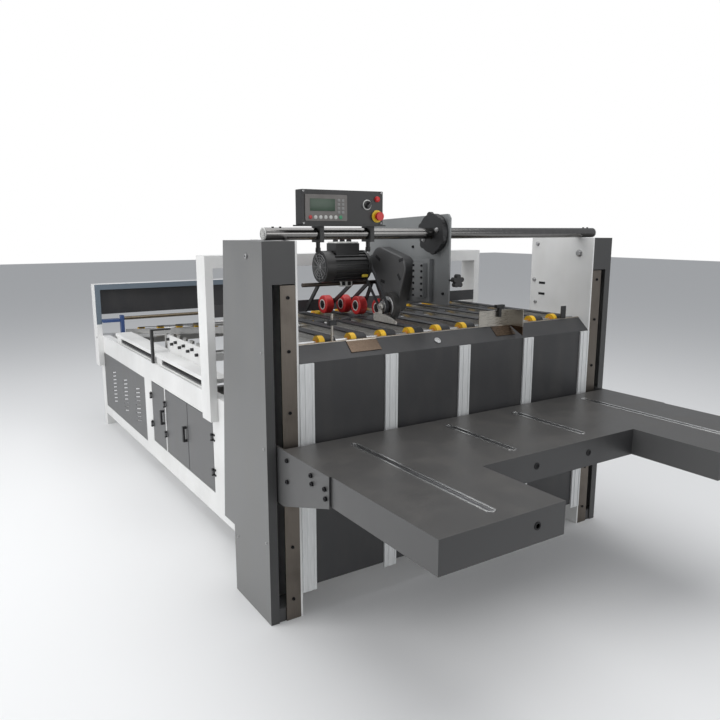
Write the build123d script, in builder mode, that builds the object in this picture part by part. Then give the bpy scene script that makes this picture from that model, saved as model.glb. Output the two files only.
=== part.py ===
from build123d import *
from math import atan2, cos, degrees, hypot, radians, sin, sqrt
import os

os.makedirs("parts", exist_ok=True)

# Folder gluer. X runs along the front, Y from the feed table to the rear, Z up from the floor.
# The origin is under the middle of the machine. Lengths are in millimetres.

# overall
machine_length = 4210
table_reach = 923
running = 5
seat = 0.3
front_y = table_reach - machine_length / 2

# side plates and post covers
side_inner_x = 798
side_t = 8
side_depth = 390
side_h = 1456
cover_out_x = 935
cover_t = 3
cover_top_h = 1454
cover_depth_top = 353
cover_depth_low = 443
cover_step_h = 290
cover_foot_depth = 335
cover_closed_h = 1303
cover_lip = 36
slot_w = 31
slot_bottom_h = 53
rail_h = 1299
rail_depth = 100
rail_t = 6

# front panel
panel_bottom_h = 120
panel_fold_h = 1010
panel_t = 3
rim_back = 62
rim_h = 1066
rim_flange = 12
panel_return = 30
strip_w = 60
strip_t = 8
strip_pitch = 384
strip_count = 5
strip_bottom_h = 100
strip_top_h = 1008

# shaft over the posts
shaft_r = 22.5
shaft_half = 885
shaft_back = 85
cap_t = 6

# lift table
table_top_h = 711
table_half_w = 885
table_gap = 44
table_notch_half = 405
table_mid_depth = 521
table_skirt = 105
table_t = 4
liner_w = 34
liner_bore = 20
liner_rise = 1.5
liner_long_x = 640
liner_short_x = 187
liner_start = 115
liner_long_end = 869
liner_short_end = 503
bracket_t = 8
bracket_front = 377
bracket_front_drop = 110
bracket_rear_drop = 218
bracket_inside = 42
bearing_r = 17
bearing_t = 25
bearing_low_h = 512
bearing_high_h = 672

# control box
box_x0 = -777
box_x1 = -429
box_h0 = 1511
box_h1 = 1635
box_depth = 45
box_base_t = 5
selector_x = -500
selector_h = 1585
selector_r = 15
selector_t = 6
selector_grip = (24, 8, 14)
box_base_lip = 8
box_clamp_x = (-664, -440)
box_clamp_w = 18
box_clamp_wall = 9
box_clamp_boss = 18
bezel_x0 = -764
bezel_x1 = -590
bezel_h0 = 1525
bezel_h1 = 1618
bezel_t = 4
stop_x = -456
stop_h = 1543

# feed bed
belt_pitch = 145
belt_w = 48
belt_t = 3
belt_top_h = 1085
pulley_r = 22
pulley_w = 50
belt_shift = 39
transport_shift = 31
wheel_side_w = 24
wheel_side_r = 29
wheel_side_gap = 2
pulley_shaft_r = 10
feed_pulley_back = 109
feed_rear_back = 915
feed_half_count = 5
bar_h = 10
channel_h = 20
bed_gap = 2
channel_w = 60
channel_t = 3
sheet_t = 3
bar_front_back = 190
bar_rear_back = 850
bar_w = 24
transport_back = 560
transport_end_back = 3030
transport_end_h = 745
transport_half_count = 4

# portal frame
portal_back = 835
portal_depth = 110
portal_leg_w = 38
portal_top_h = 1376
portal_beam_h = 58
portal_leg_bottom_h = 592
cross_plate_h0 = 1091
cross_plate_h1 = 1148
cross_plate_t = 4

# base
base_half_w = 798
base_tube = 50
base_start_back = 260
base_bottom_h = 92
base_top_h = 705
door_open_y0 = 916
door_open_y1 = 1948
door_h0 = 204
door_h1 = 586
door_gap = 4
door_t = 20
door_split = (1296, 1679)
door_post_w = 16
hinge_low_h = 314
hinge_high_h = 494
hinge_out = 9
hinge_pin_r = 3.5
hinge_knuckle_r = 6.5
hinge_leaf_t = 4.5
hinge_leaf_l = 24
hinge_mid_len = 18
hinge_len = 36
handle_len = 84
handle_h = 406
handle_inset = 22
louvre_y0 = 2099
louvre_y1 = 3191
louvre_h0 = 160
louvre_h1 = 576
louvre_columns = (2290, 2600, 2910)
louvre_rows = 9
louvre_low_h = 250
louvre_pitch = 27
louvre_len = 110
louvre_slot_w = 7
louvre_lean = -12
cover_sink = 2
cover_sheet_t = 4
leg_size = 70
deck_inset = 18
deck_lip = 10
deck_wall_t = 30
deck_top_h = 770
deck_t = 22
deck_w = 110
deck_y0 = 960
deck_y1 = 2810
deck_slots = ((1080, 1765), (1960, 2700))
deck_slot_h0 = 711
deck_slot_h1 = 742

fold_x = 700
fold_t = 10
fold_y0 = 1330
fold_y1 = 1900
fold_top_h = 868
fold_knob_count = 8
fold_knob_r = 9
stand_w = 26
stand_t = 14
stand_back = 1870
stand_top_h = 900
stand_reach = 104
beam_t = 12
beam_gap = 6
beam_above = 16
beam_lead = 10
beam_tail = 40
beam_below = 18
post_w = 40
post_backs = (1060, 2060, 2900)
guide_t = 3
fence_h = 1137
gauge_top_h = 1176
gauge_x = -616
gauge_r = 5
gauge_clamp_h = 1132
guide_left_x0 = -559
guide_left_w = 142
guide_right_w = 116
guide_low_h = 1026
fence_x0 = 135
fence_x1 = 320
wing_front = -28
wing_low_h = 1026
wing_rise = 6
fence_knob_x = 249

# rear frame
rear_frame_back = 3177
rear_frame_depth = 110
rear_frame_top_h = 1089
rear_beam_h = 40
rear_frame_bottom_h = 475
rear_panel_h0 = 860
rear_roller_r = 13
rear_roller_h = 829
rear_roller_half = 645

# glue head
plate_x1 = -91
plate_t = 8
plate_front = -4
plate_rear = 600
plate_top_h = 1557
clamp_r = 80
clamp_t = 28
hub_r = 48
hub_t = 20
lobe_r = 17
lobe_t = 14
lobe_count = 6
lobe_lead = 20
motor_r = 70
motor_back = 468
motor_h = 1332
motor_x0 = -441
motor_x1 = -212
cover_block_x0 = -150
drive_pulley_r = 34
drive_low_r = 26
drive_belt_t = 5
drive_belt_w = 12
axle_end = -226
glue_wheel_r = 64
glue_wheel_w = 26
glue_wheel_back = 318
shoe_front = 122
shoe_rear = 48
shoe_h = 34
shoe_boss_r = 16
shoe_neck_w = 18
axle_r = 9
axle_over = 4
wheel_r = 44
wheel_w = 42
wheel_lift = 6
rod_r = 9
rod_x0 = -504
beam_x0 = -310
beam_back = 518
beam_h = 1250
beam_size = 26
beam_x1 = -250
bracket_w = 10
motor_bracket_l = 110
motor_bracket_h = 80
slide_t = 20
slide_step = 18
slide_back0 = 100
slide_back1 = 208
slide_h0 = 1190
slide_h1 = 1372
arm_t = 8
arm_w = 18
free_arm_x = -424
free_arm_end = (640, 1124)
wheel_sites = ((-291, 712), (-200, 692), (-181, 585), (-156, 440))

glue_plate_x0 = plate_x1 - plate_t
side_outer_x = side_inner_x + side_t
shaft_h = side_h + seat + shaft_r
wheel_h = belt_top_h + wheel_lift + wheel_r
pulley_h = belt_top_h - belt_t - pulley_r
portal_inner_x = base_half_w
portal_outer_x = base_half_w + portal_leg_w


def at(back):
    # a depth behind the front panel as a Y coordinate
    return front_y + back


def block(x0, x1, b0, b1, h0, h1, mode=Mode.ADD):
    with Locations(((x0 + x1) / 2, at((b0 + b1) / 2), (h0 + h1) / 2)):
        Box(abs(x1 - x0), abs(b1 - b0), abs(h1 - h0), mode=mode)


def round_x(x0, x1, back, h, r, mode=Mode.ADD):
    # a round bar lying along X
    with Locations(Location(((x0 + x1) / 2, at(back), h), (0, 90, 0))):
        Cylinder(r, abs(x1 - x0), mode=mode)


def ring_x(x0, x1, back, h, r, bore):
    # a bored disc on an axis along X
    with BuildSketch(Plane.YZ.offset(min(x0, x1))) as ring:
        with Locations((at(back), h)):
            Circle(r)
            Circle(bore, mode=Mode.SUBTRACT)
    extrude(ring.sketch, amount=abs(x1 - x0))


def side_profile(points, x0, x1, mode=Mode.ADD):
    # a plate standing along Y and Z, from its outline as depth and height
    with BuildSketch(Plane.YZ.offset(min(x0, x1))) as outline:
        with BuildLine():
            Polyline([(at(b), h) for b, h in points], close=True)
        make_face()
    extrude(outline.sketch, amount=abs(x1 - x0), mode=mode)


def loop_points(b0, h0, r0, b1, h1, r1):
    # tangent points of the two straight runs round two pulleys
    length = hypot(b1 - b0, h1 - h0)
    lean = atan2(h1 - h0, b1 - b0)
    spread = atan2(r0 - r1, sqrt(length ** 2 - (r0 - r1) ** 2))
    up = lean + radians(90) - spread
    down = lean - radians(90) + spread
    top0 = (b0 + r0 * cos(up), h0 + r0 * sin(up))
    top1 = (b1 + r1 * cos(up), h1 + r1 * sin(up))
    low0 = (b0 + r0 * cos(down), h0 + r0 * sin(down))
    low1 = (b1 + r1 * cos(down), h1 + r1 * sin(down))
    back0 = (b0 - r0 * cos(lean), h0 - r0 * sin(lean))
    back1 = (b1 + r1 * cos(lean), h1 + r1 * sin(lean))
    return top0, top1, back1, low1, low0, back0


def belt_loop(x0, x1, b0, h0, r0, b1, h1, r1, t):
    # a flat belt round two pulleys
    for grow, mode in ((t, Mode.ADD), (0, Mode.SUBTRACT)):
        points = loop_points(b0, h0, r0 + grow, b1, h1, r1 + grow)
        top0, top1, back1, low1, low0, back0 = [(at(b), h) for b, h in points]
        with BuildSketch(Plane.YZ.offset(min(x0, x1))) as loop:
            with BuildLine():
                Line(top0, top1)
                ThreePointArc(top1, back1, low1)
                Line(low1, low0)
                ThreePointArc(low0, back0, top0)
            make_face()
        extrude(loop.sketch, amount=abs(x1 - x0), mode=mode)


feed_xs = [
    belt_shift + belt_pitch * (i + 0.5) for i in range(-feed_half_count, feed_half_count)
]
transport_xs = [
    transport_shift + belt_pitch * i
    for i in range(-transport_half_count, transport_half_count + 1)
]
sheet_xs = [x + belt_pitch / 2 for x in feed_xs[:-1]]

# white side plates that stand on the floor and carry the shaft
with BuildPart() as side_plates:
    for side in (-1, 1):
        block(side * side_inner_x, side * side_outer_x, 0, side_depth, 0, side_h)
    corners = side_plates.edges().filter_by(Axis.X).group_by(Axis.Z)[-1]
    fillet(corners, 6)
side_plates.part.label = "side_plates"
export_step(side_plates.part, "parts/side_plates.step")

# sheet covers round the lift posts, open in front below the closed top
cover_points = [
    (0, 0),
    (0, cover_top_h),
    (cover_depth_top, cover_top_h),
    (cover_depth_low, cover_step_h),
    (cover_foot_depth, cover_step_h),
    (cover_foot_depth, 0),
]
inner_points = [
    (cover_t, -1),
    (cover_t, cover_top_h - cover_t),
    (cover_depth_top - cover_t, cover_top_h - cover_t),
    (cover_depth_low - cover_t, cover_step_h + cover_t),
    (cover_foot_depth - cover_t, cover_step_h + cover_t),
    (cover_foot_depth - cover_t, -1),
]
slot_x1 = cover_out_x - cover_lip
slot_x0 = slot_x1 - slot_w
with BuildPart() as post_covers:
    for side in (-1, 1):
        side_profile(cover_points, side * side_outer_x, side * cover_out_x)
        side_profile(
            inner_points, side * side_outer_x, side * (cover_out_x - cover_t), Mode.SUBTRACT
        )
        with BuildSketch(Plane.XZ.offset(-front_y)):
            with BuildLine():
                Polyline(
                    (side * (side_outer_x - 1), -1),
                    (side * (side_outer_x - 1), cover_closed_h),
                    (side * slot_x1, cover_closed_h),
                    (side * slot_x1, -1),
                    close=True,
                )
            make_face()
        extrude(amount=-cover_t, mode=Mode.SUBTRACT)
    for side in (-1, 1):
        foot_in = side_outer_x + rail_t
        foot_out = cover_out_x - cover_t
        block(side * foot_in, side * foot_out, rail_t, rail_depth, 0, slot_bottom_h)
post_covers.part.label = "post_covers"
export_step(post_covers.part, "parts/post_covers.step")

# bare steel guide rails beside the slots, with a foot that closes each slot
with BuildPart() as guide_rails:
    for side in (-1, 1):
        block(side * side_outer_x, side * slot_x0, 0, rail_t, 0, rail_h)
        block(side * side_outer_x, side * (side_outer_x + rail_t), 0, rail_depth, 0, rail_h)
guide_rails.part.label = "guide_rails"
export_step(guide_rails.part, "parts/guide_rails.step")

# dark front panel with its sloped top and rolled rim
panel_points = [
    (0, panel_bottom_h),
    (0, panel_fold_h),
    (rim_back, rim_h),
    (rim_back + rim_flange, rim_h),
    (rim_back + rim_flange, rim_h - panel_t),
    (rim_back + panel_t, rim_h - panel_t),
    (panel_t, panel_fold_h - panel_t / 2),
    (panel_t, panel_bottom_h + panel_t),
    (panel_return, panel_bottom_h + panel_t),
    (panel_return, panel_bottom_h),
]
with BuildPart() as front_panel:
    side_profile(panel_points, -side_inner_x, side_inner_x)
front_panel.part.label = "front_panel"
export_step(front_panel.part, "parts/front_panel.step")

# grooved aluminium strips on the front panel
with BuildPart() as panel_strips:
    strip_mid = (strip_count - 1) / 2
    for i in range(strip_count):
        strip_x = (i - strip_mid) * strip_pitch
        with BuildSketch(Plane.XY.offset(strip_bottom_h)):
            with Locations((strip_x, at(-strip_t / 2))):
                Rectangle(strip_w, strip_t)
            with Locations(
                (strip_x - strip_w / 4, at(-strip_t)), (strip_x + strip_w / 4, at(-strip_t))
            ):
                Rectangle(strip_w / 5, strip_t / 2, mode=Mode.SUBTRACT)
        extrude(amount=strip_top_h - strip_bottom_h)
panel_strips.part.label = "panel_strips"
export_step(panel_strips.part, "parts/panel_strips.step")

# polished shaft across the posts, with its end caps
with BuildPart() as top_shaft:
    round_x(-shaft_half, shaft_half, shaft_back, shaft_h, shaft_r)
    for side in (-1, 1):
        round_x(side * shaft_half, side * (shaft_half + cap_t), shaft_back, shaft_h, shaft_r - 1)
top_shaft.part.label = "top_shaft"
export_step(top_shaft.part, "parts/top_shaft.step")

# U-shaped feed table, a folded tray open underneath
table_front = -table_reach
table_mid_front = -table_gap - table_mid_depth
table_y = (at(-table_gap), at(table_mid_front), at(table_front))


def table_outline(inset):
    # corners of the U, drawn in by the inset
    outer = table_half_w - inset
    notch = table_notch_half + inset
    rear, middle, front = table_y[0] - inset, table_y[1] + inset, table_y[2] + inset
    return [
        (-outer, rear),
        (outer, rear),
        (outer, front),
        (notch, front),
        (notch, middle),
        (-notch, middle),
        (-notch, front),
        (-outer, front),
    ]


liner_sites = []
for side in (-1, 1):
    for liner_x, liner_end in ((liner_long_x, liner_long_end), (liner_short_x, liner_short_end)):
        liner_length = liner_end - liner_start
        liner_mid = -(liner_end + liner_start) / 2
        liner_sites.append((side * liner_x, at(liner_mid), liner_length))

with BuildPart() as lift_table:
    with BuildSketch(Plane.XY.offset(table_top_h - table_skirt)):
        with BuildLine():
            Polyline(table_outline(0), close=True)
        make_face()
    extrude(amount=table_skirt)
    with BuildSketch(Plane.XY.offset(table_top_h - table_skirt)):
        with BuildLine():
            Polyline(table_outline(table_t), close=True)
        make_face()
    extrude(amount=table_skirt - table_t, mode=Mode.SUBTRACT)
    with BuildSketch(Plane.XY.offset(table_top_h)):
        for site_x, site_y, site_length in liner_sites:
            with Locations((site_x, site_y)):
                SlotOverall(site_length, liner_w + 2 * seat, rotation=90)
    extrude(amount=-table_t, mode=Mode.SUBTRACT)
lift_table.part.label = "lift_table"
export_step(lift_table.part, "parts/lift_table.step")

with BuildPart() as table_liners:
    with BuildSketch(Plane.XY.offset(table_top_h - table_t)):
        for site_x, site_y, site_length in liner_sites:
            with Locations((site_x, site_y)):
                SlotOverall(site_length - 2 * seat, liner_w, rotation=90)
                SlotOverall(
                    site_length - 2 * seat - liner_w + liner_bore,
                    liner_bore,
                    rotation=90,
                    mode=Mode.SUBTRACT,
                )
    extrude(amount=table_t + liner_rise)
table_liners.part.label = "table_liners"
export_step(table_liners.part, "parts/table_liners.step")

# side brackets that carry the table into the post slots
bracket_points = [
    (-bracket_front, table_top_h),
    (bracket_inside, table_top_h),
    (bracket_inside, table_top_h - bracket_rear_drop),
    (-table_gap, table_top_h - bracket_rear_drop),
    (-bracket_front, table_top_h - bracket_front_drop),
]
with BuildPart() as table_brackets:
    for side in (-1, 1):
        side_profile(bracket_points, side * table_half_w, side * (table_half_w + bracket_t))
    lower = table_brackets.edges().filter_by(Axis.X).group_by(Axis.Z)[0]
    fillet(lower, 12)
table_brackets.part.label = "table_brackets"
export_step(table_brackets.part, "parts/table_brackets.step")

# bearings that roll up the rear faces of the guide rails
bearing_back = rail_t + seat + bearing_r
with BuildPart() as bracket_bearings:
    for side in (-1, 1):
        for bearing_h in (bearing_low_h, bearing_high_h):
            face_x = side * table_half_w
            round_x(face_x, face_x - side * bearing_t, bearing_back, bearing_h, bearing_r)
bracket_bearings.part.label = "bracket_bearings"
export_step(bracket_bearings.part, "parts/bracket_bearings.step")

# control box clamped on the shaft
with BuildPart() as control_box:
    block(box_x0, box_x1, 0, box_depth, box_h0, box_h1)
    fillet(control_box.edges().filter_by(Axis.Y), 3)
    with BuildSketch(Plane.XZ.offset(-front_y)):
        with Locations((selector_x, selector_h)):
            Circle(selector_r)
    extrude(amount=selector_t)
    with BuildSketch(Plane.XZ.offset(selector_t - front_y)):
        with Locations((selector_x, selector_h)):
            Rectangle(selector_grip[0], selector_grip[1], rotation=45)
    extrude(amount=selector_grip[2])
control_box.part.label = "control_box"
export_step(control_box.part, "parts/control_box.step")

with BuildPart() as control_mount:
    lip = box_base_lip
    block(box_x0 - lip, box_x1 + lip, -lip, box_depth + lip, box_h0 - box_base_t, box_h0)
    clamp_top = box_h0 - box_base_t
    for clamp_x in box_clamp_x:
        x0 = clamp_x - box_clamp_w / 2
        x1 = clamp_x + box_clamp_w / 2
        reach = shaft_r + box_clamp_wall
        block(x0, x1, shaft_back - reach, shaft_back + reach, shaft_h - reach, clamp_top)
        block(
            x0 - lip,
            x1 + lip,
            box_depth,
            shaft_back + reach,
            clamp_top,
            clamp_top + box_base_t,
        )
        round_x(x0, x1, shaft_back, shaft_h, shaft_r + seat, Mode.SUBTRACT)
        with Locations((clamp_x, at(shaft_back), shaft_h - reach - box_clamp_boss / 2)):
            Cylinder(box_clamp_w / 2 - 1, box_clamp_boss)
control_mount.part.label = "control_mount"
export_step(control_mount.part, "parts/control_mount.step")

with BuildPart() as display_bezel:
    block(bezel_x0, bezel_x1, -bezel_t, 0, bezel_h0, bezel_h1)
    fillet(display_bezel.edges().filter_by(Axis.Y), 4)
display_bezel.part.label = "display_bezel"
export_step(display_bezel.part, "parts/display_bezel.step")

with BuildPart() as stop_button:
    for start, thick, radius in ((0, 3, 20), (3, 12, 10), (15, 10, 16)):
        with BuildSketch(Plane.XZ.offset(start - front_y)):
            with Locations((stop_x, stop_h)):
                Circle(radius)
        extrude(amount=thick)
stop_button.part.label = "stop_button"
export_step(stop_button.part, "parts/stop_button.step")

# feed belts on their pulleys, bars, channels and bed sheets
bar_top = pulley_h + pulley_r - bed_gap - channel_h
bar_bottom = bar_top - bar_h
channel_top = pulley_h + pulley_r - bed_gap
channel_start = feed_pulley_back + pulley_r + 8
channel_end = feed_rear_back - pulley_r - 8
with BuildPart() as belt_channels:
    block(
        -side_inner_x, side_inner_x, bar_front_back, bar_front_back + bar_w, bar_bottom, bar_top
    )
    block(
        -portal_inner_x, portal_inner_x, bar_rear_back, bar_rear_back + bar_w, bar_bottom, bar_top
    )
    for belt_x in feed_xs:
        with BuildSketch(Plane.XZ.offset(-at(channel_start))):
            with Locations((belt_x, (bar_top + channel_top) / 2)):
                Rectangle(channel_w, channel_top - bar_top)
            with Locations((belt_x, (bar_top + channel_top - channel_t) / 2)):
                Rectangle(
                    channel_w - 2 * channel_t,
                    channel_top - bar_top - channel_t,
                    mode=Mode.SUBTRACT,
                )
        extrude(amount=-(channel_end - channel_start))
    bore_r = pulley_shaft_r + seat
    shaft_reach = feed_xs[-1] + channel_w
    round_x(-shaft_reach, shaft_reach, transport_back, pulley_h, bore_r, Mode.SUBTRACT)
belt_channels.part.label = "belt_channels"
export_step(belt_channels.part, "parts/belt_channels.step")

sheet_end = transport_back - pulley_r - 20
sheet_w = belt_pitch - channel_w - 2 * seat
with BuildPart() as bed_sheets:
    for sheet_x in sheet_xs:
        block(
            sheet_x - sheet_w / 2,
            sheet_x + sheet_w / 2,
            channel_start,
            sheet_end,
            bar_top,
            bar_top + sheet_t,
        )
    edge_reach = channel_w / 2 + seat
    for side, edge_x in ((-1, feed_xs[0] - edge_reach), (1, feed_xs[-1] + edge_reach)):
        block(
            edge_x,
            side * (side_inner_x - seat),
            channel_start,
            side_depth,
            bar_top,
            bar_top + sheet_t,
        )
bed_sheets.part.label = "bed_sheets"
export_step(bed_sheets.part, "parts/bed_sheets.step")

# long transport belts that slope down to the rear
slope = (transport_end_h - pulley_h) / (transport_end_back - transport_back)


def slope_h(back):
    # height of the pulley line of the transport belts
    return pulley_h + slope * (back - transport_back)


beam_x = transport_xs[-1] + pulley_w / 2 + beam_gap
feed_run = (feed_pulley_back, pulley_h, feed_rear_back, pulley_h)
transport_run = (transport_back, pulley_h, transport_end_back, transport_end_h)
with BuildPart() as belt_pulleys:
    for xs, run in ((feed_xs, feed_run), (transport_xs, transport_run)):
        for belt_x in xs:
            for back, h in (run[:2], run[2:]):
                ring_x(
                    belt_x - pulley_w / 2,
                    belt_x + pulley_w / 2,
                    back,
                    h,
                    pulley_r,
                    pulley_shaft_r + seat,
                )
    # a plain wheel at the left of each feed belt, level with or just over the belt
    for belt_x in feed_xs:
        wheel_x1 = belt_x - pulley_w / 2 - wheel_side_gap
        for back in (feed_pulley_back, feed_rear_back):
            ring_x(
                wheel_x1 - wheel_side_w,
                wheel_x1,
                back,
                pulley_h,
                wheel_side_r,
                pulley_shaft_r + seat,
            )
belt_pulleys.part.label = "belt_pulleys"
export_step(belt_pulleys.part, "parts/belt_pulleys.step")

for belts_name, xs, run in (
    ("feed_belts", feed_xs, feed_run),
    ("transport_belts", transport_xs, transport_run),
):
    with BuildPart() as belts:
        for belt_x in xs:
            belt_loop(
                belt_x - belt_w / 2,
                belt_x + belt_w / 2,
                run[0],
                run[1],
                pulley_r + seat,
                run[2],
                run[3],
                pulley_r + seat,
                belt_t - seat,
            )
    belts.part.label = belts_name
    export_step(belts.part, "parts/" + belts_name + ".step")

with BuildPart() as belt_shafts:
    round_x(-side_inner_x, side_inner_x, feed_pulley_back, pulley_h, pulley_shaft_r)
    round_x(-portal_inner_x, portal_inner_x, feed_rear_back, pulley_h, pulley_shaft_r)
    round_x(-shaft_reach, shaft_reach, transport_back, pulley_h, pulley_shaft_r)
    round_x(-beam_x, beam_x, transport_end_back, transport_end_h, pulley_shaft_r)
belt_shafts.part.label = "belt_shafts"
export_step(belt_shafts.part, "parts/belt_shafts.step")

# side beams on posts and crossbars, which carry the rear shaft of the transport belts
beam_start = feed_rear_back + pulley_r + belt_t + beam_lead
beam_end = transport_end_back + beam_tail
with BuildPart() as transport_beams:
    for side in (-1, 1):
        side_profile(
            [
                (beam_start, slope_h(beam_start) - beam_below),
                (beam_start, slope_h(beam_start) + beam_above),
                (beam_end, slope_h(beam_end) + beam_above),
                (beam_end, slope_h(beam_end) - beam_below),
            ],
            side * beam_x,
            side * (beam_x + beam_t),
        )
    for post_back in post_backs:
        block(
            -base_half_w + base_tube,
            base_half_w - base_tube,
            post_back,
            post_back + post_w,
            base_top_h - post_w,
            base_top_h,
        )
        for side in (-1, 1):
            side_profile(
                [
                    (post_back, base_top_h),
                    (post_back + post_w, base_top_h),
                    (post_back + post_w, slope_h(post_back + post_w)),
                    (post_back, slope_h(post_back)),
                ],
                side * beam_x,
                side * (beam_x + beam_t),
            )
transport_beams.part.label = "transport_beams"
export_step(transport_beams.part, "parts/transport_beams.step")

# white portal frame with its dark cross plate


def arch(back, depth, top_h, beam_h, bottom_h):
    # a square arch that stands astride the base
    with BuildSketch(Plane.XZ.offset(-at(back))) as front:
        with BuildLine():
            Polyline(
                (-portal_outer_x, bottom_h),
                (-portal_outer_x, top_h),
                (portal_outer_x, top_h),
                (portal_outer_x, bottom_h),
                (portal_inner_x, bottom_h),
                (portal_inner_x, top_h - beam_h),
                (-portal_inner_x, top_h - beam_h),
                (-portal_inner_x, bottom_h),
                close=True,
            )
        make_face()
    extrude(front.sketch, amount=-depth)


with BuildPart() as portal_frame:
    arch(portal_back, portal_depth, portal_top_h, portal_beam_h, portal_leg_bottom_h)
portal_frame.part.label = "portal_frame"
export_step(portal_frame.part, "parts/portal_frame.step")

door_post_back = door_split[1]
# white welded base: two side frames, cross members and legs
base_rear_back = machine_length - table_reach
with BuildPart() as base_frame:
    for side in (-1, 1):
        x0 = side * base_half_w
        x1 = side * (base_half_w - base_tube)
        block(x0, x1, base_start_back, base_rear_back, base_bottom_h, base_top_h)
        block(x0, x1, door_open_y0, door_open_y1, door_h0, door_h1, Mode.SUBTRACT)
        block(x0, x1, louvre_y0, louvre_y1, louvre_h0, louvre_h1, Mode.SUBTRACT)
        for leg_back in (base_start_back + 140, base_rear_back - leg_size):
            block(x0, x1, leg_back, leg_back + leg_size, 0, base_bottom_h)
    block(
        -base_half_w,
        -base_half_w + base_tube,
        door_post_back,
        door_post_back + door_post_w,
        door_h0,
        door_h1,
    )
    inner = base_half_w - base_tube
    for back in (base_start_back, 1980, base_rear_back - base_tube):
        block(-inner, inner, back, back + base_tube, base_bottom_h, base_bottom_h + base_tube)
        block(-inner, inner, back, back + base_tube, base_top_h - base_tube, base_top_h)
base_frame.part.label = "base_frame"
export_step(base_frame.part, "parts/base_frame.step")

# louvred panels let into the rear bays: three columns of slanted slots in each
panel_out = base_half_w - cover_sink
panel_in = panel_out - cover_sheet_t
with BuildPart() as side_covers:
    for side in (-1, 1):
        block(side * panel_out, side * panel_in, louvre_y0, louvre_y1, louvre_h0, louvre_h1)
    block(panel_out, panel_in, door_open_y0, door_open_y1, door_h0, door_h1)
    with BuildSketch(Plane.YZ.offset(-base_half_w)):
        for column in louvre_columns:
            for row in range(louvre_rows):
                slot_h = louvre_low_h + row * louvre_pitch
                with Locations((at(column), slot_h)):
                    SlotOverall(louvre_len, louvre_slot_w, rotation=louvre_lean)
    extrude(amount=2 * base_half_w, mode=Mode.SUBTRACT)
side_covers.part.label = "side_covers"
export_step(side_covers.part, "parts/side_covers.step")

# three doors on the left side, each with its hinge knuckles
door_spans = (
    ("rear", door_post_back + door_post_w, door_open_y1, 1),
    ("middle", door_split[0], door_post_back, 1),
    ("front", door_open_y0, door_split[0], -1),
)
hinge_levels = (hinge_low_h, hinge_high_h)
hinge_x = -(base_half_w + hinge_out)
knuckle_half = hinge_mid_len / 2
for door_name, b0, b1, hinge_side in door_spans:
    hinge_back = b1 - door_gap / 2 if hinge_side > 0 else b0 + door_gap / 2
    with BuildPart() as door:
        block(
            -base_half_w,
            -base_half_w + door_t,
            b0 + door_gap,
            b1 - door_gap,
            door_h0 + door_gap,
            door_h1 - door_gap,
        )
        for level in hinge_levels:
            leaf_end = hinge_back - hinge_side * hinge_leaf_l
            block(
                -base_half_w - hinge_leaf_t,
                -base_half_w,
                leaf_end,
                hinge_back,
                level - knuckle_half,
                level + knuckle_half,
            )
            with Locations((hinge_x, at(hinge_back), level)):
                Cylinder(hinge_knuckle_r, hinge_mid_len)
                Cylinder(hinge_pin_r + seat, hinge_mid_len, mode=Mode.SUBTRACT)
    door.part.label = "door_" + door_name
    export_step(door.part, "parts/door_" + door_name + ".step")

with BuildPart() as door_hinges:
    for door_name, b0, b1, hinge_side in door_spans:
        hinge_back = b1 - door_gap / 2 if hinge_side > 0 else b0 + door_gap / 2
        leaf_l = door_post_w if door_name == "middle" else hinge_leaf_l
        for level in hinge_levels:
            with Locations((hinge_x, at(hinge_back), level)):
                Cylinder(hinge_pin_r, hinge_len)
            for end in (-1, 1):
                h0 = level + end * (knuckle_half + seat)
                h1 = level + end * (hinge_len / 2)
                with Locations((hinge_x, at(hinge_back), (h0 + h1) / 2)):
                    Cylinder(hinge_knuckle_r, abs(h1 - h0))
                block(
                    -base_half_w - hinge_leaf_t,
                    -base_half_w,
                    hinge_back,
                    hinge_back + hinge_side * leaf_l,
                    min(h0, h1),
                    max(h0, h1),
                )
door_hinges.part.label = "door_hinges"
export_step(door_hinges.part, "parts/door_hinges.step")

# black bar handles at the free edges of two doors
handle_stand = 22
handle_bar = 10
for door_name, b0, b1, hinge_side in door_spans[:2]:
    handle_back = b0 + door_gap + handle_inset
    with BuildPart() as handle:
        x_face = -base_half_w
        grip_h0 = handle_h - handle_len / 2
        grip_h1 = handle_h + handle_len / 2
        block(
            x_face - handle_stand,
            x_face - handle_stand + handle_bar,
            handle_back - handle_bar,
            handle_back + handle_bar,
            grip_h0,
            grip_h1,
        )
        for h0 in (grip_h0, grip_h1 - handle_bar):
            block(
                x_face - handle_stand + handle_bar,
                x_face,
                handle_back - handle_bar,
                handle_back + handle_bar,
                h0,
                h0 + handle_bar,
            )
    handle.part.label = "handle_" + door_name
    export_step(handle.part, "parts/handle_" + door_name + ".step")

# white deck plates on slotted side walls, set in from the base edge
deck_x = base_half_w - deck_inset
with BuildPart() as deck:
    for side in (-1, 1):
        inner_x = side * (deck_x - deck_wall_t)
        block(side * deck_x, inner_x, deck_y0, deck_y1, base_top_h, deck_top_h)
        for b0, b1 in deck_slots:
            block(side * deck_x, inner_x, b0, b1, deck_slot_h0, deck_slot_h1, Mode.SUBTRACT)
        block(
            side * (deck_x + deck_lip),
            side * (deck_x + deck_lip - deck_w),
            deck_y0,
            deck_y1,
            deck_top_h - deck_t,
            deck_top_h,
        )
deck.part.label = "deck"
export_step(deck.part, "parts/deck.step")

# black stand at the deck edge, with a bar running inward
with BuildPart() as gauge_stand:
    stand_x = -(deck_x + deck_lip)
    block(stand_x - stand_t, stand_x, stand_back, stand_back + stand_w, base_top_h, stand_top_h)
    block(
        stand_x - stand_t,
        stand_x + stand_reach,
        stand_back,
        stand_back + stand_w,
        stand_top_h,
        stand_top_h + 8,
    )
gauge_stand.part.label = "gauge_stand"
export_step(gauge_stand.part, "parts/gauge_stand.step")

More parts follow.
